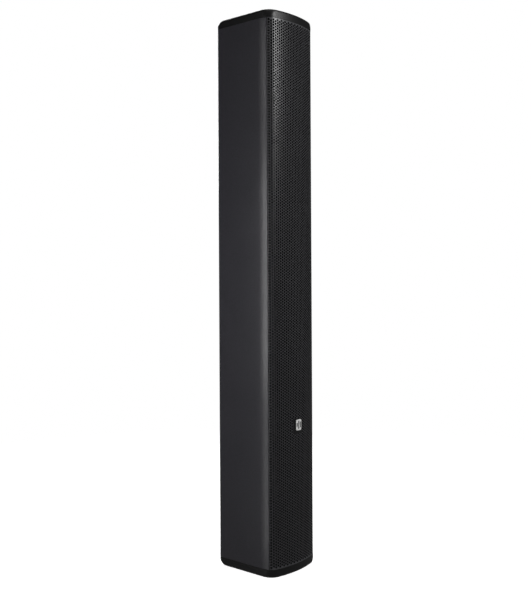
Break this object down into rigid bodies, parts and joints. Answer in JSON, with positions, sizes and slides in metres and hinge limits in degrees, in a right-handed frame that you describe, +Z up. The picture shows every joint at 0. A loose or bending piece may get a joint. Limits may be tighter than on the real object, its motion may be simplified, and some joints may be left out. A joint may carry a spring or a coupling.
{
  "type": "column loudspeaker",
  "caption": "Tall slim column loudspeaker: black aluminium body, bowed perforated grille, end caps and a recessed rear connection dish.",
  "frame": {"origin": "centre of the underside, at the middle of the bounding box", "axes": "+Z up along the column, -Y out of the grille, +X to the viewer's right when facing the grille"},
  "size_m": [0.142, 0.15, 1.1],
  "materials": {
    "painted_aluminium": "satin black powder coat with a fine grain",
    "cap_plastic": "smooth black moulding",
    "seal_foam": "closed-cell foam",
    "screw_steel": "black zinc",
    "baffle_board": "matt black paint",
    "grille_steel": "perforated, satin black powder coat",
    "acoustic_foam": "open-cell foam",
    "badge_plastic": "gloss black with a white mark",
    "driver_steel": "black e-coat",
    "cone_paper": "coated paper pulp",
    "soft_rubber": "matt",
    "magnet_ferrite": "ferrite between zinc plates",
    "horn_plastic": "fine moulded texture",
    "diaphragm_foil": "thin foil",
    "board_laminate": "green solder mask",
    "switch_plastic": "moulded",
    "coil_copper": "enamelled copper wire",
    "capacitor_film": "yellow film wrap",
    "core_steel": "varnished laminations",
    "wire_jacket": "sleeved loom",
    "dish_plastic": "fine moulded texture",
    "socket_plastic": "smooth black moulding",
    "knob_plastic": "matt with a white pointer line",
    "insert_steel": "zinc plated"
  },
  "bodies": {
    "cabinet": {"cabinet_extrusion": "painted_aluminium", "top_cap": "cap_plastic", "bottom_cap": "cap_plastic", "top_cap_gasket": "seal_foam", "bottom_cap_gasket": "seal_foam", "top_cap_screw_1": "screw_steel", "top_cap_screw_2": "screw_steel", "top_cap_screw_3": "screw_steel", "top_cap_screw_4": "screw_steel", "bottom_cap_screw_1": "screw_steel", "bottom_cap_screw_2": "screw_steel", "bottom_cap_screw_3": "screw_steel", "bottom_cap_screw_4": "screw_steel", "front_baffle": "baffle_board", "grille": "grille_steel", "grille_foam": "acoustic_foam", "damping_foam": "acoustic_foam", "badge": "badge_plastic", "woofer_frame_1": "driver_steel", "woofer_surround_1": "soft_rubber", "woofer_magnet_1": "magnet_ferrite", "woofer_frame_2": "driver_steel", "woofer_surround_2": "soft_rubber", "woofer_magnet_2": "magnet_ferrite", "woofer_frame_3": "driver_steel", "woofer_surround_3": "soft_rubber", "woofer_magnet_3": "magnet_ferrite", "woofer_frame_4": "driver_steel", "woofer_surround_4": "soft_rubber", "woofer_magnet_4": "magnet_ferrite", "woofer_frame_5": "driver_steel", "woofer_surround_5": "soft_rubber", "woofer_magnet_5": "magnet_ferrite", "woofer_frame_6": "driver_steel", "woofer_surround_6": "soft_rubber", "woofer_magnet_6": "magnet_ferrite", "hf_horn": "horn_plastic", "port_tube_lower": "horn_plastic", "port_tube_upper": "horn_plastic", "hf_driver": "driver_steel", "crossover_board": "board_laminate", "tap_switch": "switch_plastic", "crossover_inductor_1": "coil_copper", "crossover_inductor_2": "coil_copper", "crossover_capacitor": "capacitor_film", "line_transformer": "core_steel", "wiring_loom": "wire_jacket", "input_dish": "dish_plastic", "speaker_socket_1": "socket_plastic", "speaker_socket_2": "socket_plastic", "wall_insert_lower": "insert_steel", "wall_insert_upper": "insert_steel"},
    "cone_1": {"woofer_cone_1": "cone_paper"},
    "cone_2": {"woofer_cone_2": "cone_paper"},
    "cone_3": {"woofer_cone_3": "cone_paper"},
    "cone_4": {"woofer_cone_4": "cone_paper"},
    "cone_5": {"woofer_cone_5": "cone_paper"},
    "cone_6": {"woofer_cone_6": "cone_paper"},
    "hf_dome": {"hf_diaphragm": "diaphragm_foil"},
    "power_tap": {"tap_knob": "knob_plastic"}
  },
  "joints": [
    {"name": "cone_1_stroke", "type": "slide", "parent": "cabinet", "child": "cone_1", "axis": [0, -1, 0], "range_m": [-0.003, 0.003], "stiffness_N_per_m": 1250},
    {"name": "cone_2_stroke", "type": "slide", "parent": "cabinet", "child": "cone_2", "axis": [0, -1, 0], "range_m": [-0.003, 0.003], "stiffness_N_per_m": 1250},
    {"name": "cone_3_stroke", "type": "slide", "parent": "cabinet", "child": "cone_3", "axis": [0, -1, 0], "range_m": [-0.003, 0.003], "stiffness_N_per_m": 1250},
    {"name": "cone_4_stroke", "type": "slide", "parent": "cabinet", "child": "cone_4", "axis": [0, -1, 0], "range_m": [-0.003, 0.003], "stiffness_N_per_m": 1250},
    {"name": "cone_5_stroke", "type": "slide", "parent": "cabinet", "child": "cone_5", "axis": [0, -1, 0], "range_m": [-0.003, 0.003], "stiffness_N_per_m": 1250},
    {"name": "cone_6_stroke", "type": "slide", "parent": "cabinet", "child": "cone_6", "axis": [0, -1, 0], "range_m": [-0.003, 0.003], "stiffness_N_per_m": 1250},
    {"name": "hf_dome_stroke", "type": "slide", "parent": "cabinet", "child": "hf_dome", "axis": [0, -1, 0], "range_m": [-0.0003, 0.0003], "stiffness_N_per_m": 2000},
    {"name": "power_tap_turn", "type": "hinge", "parent": "cabinet", "child": "power_tap", "pos_m": [0, 0.049, 0.137], "axis": [0, 1, 0], "range_deg": [-60, 60]}
  ]
}
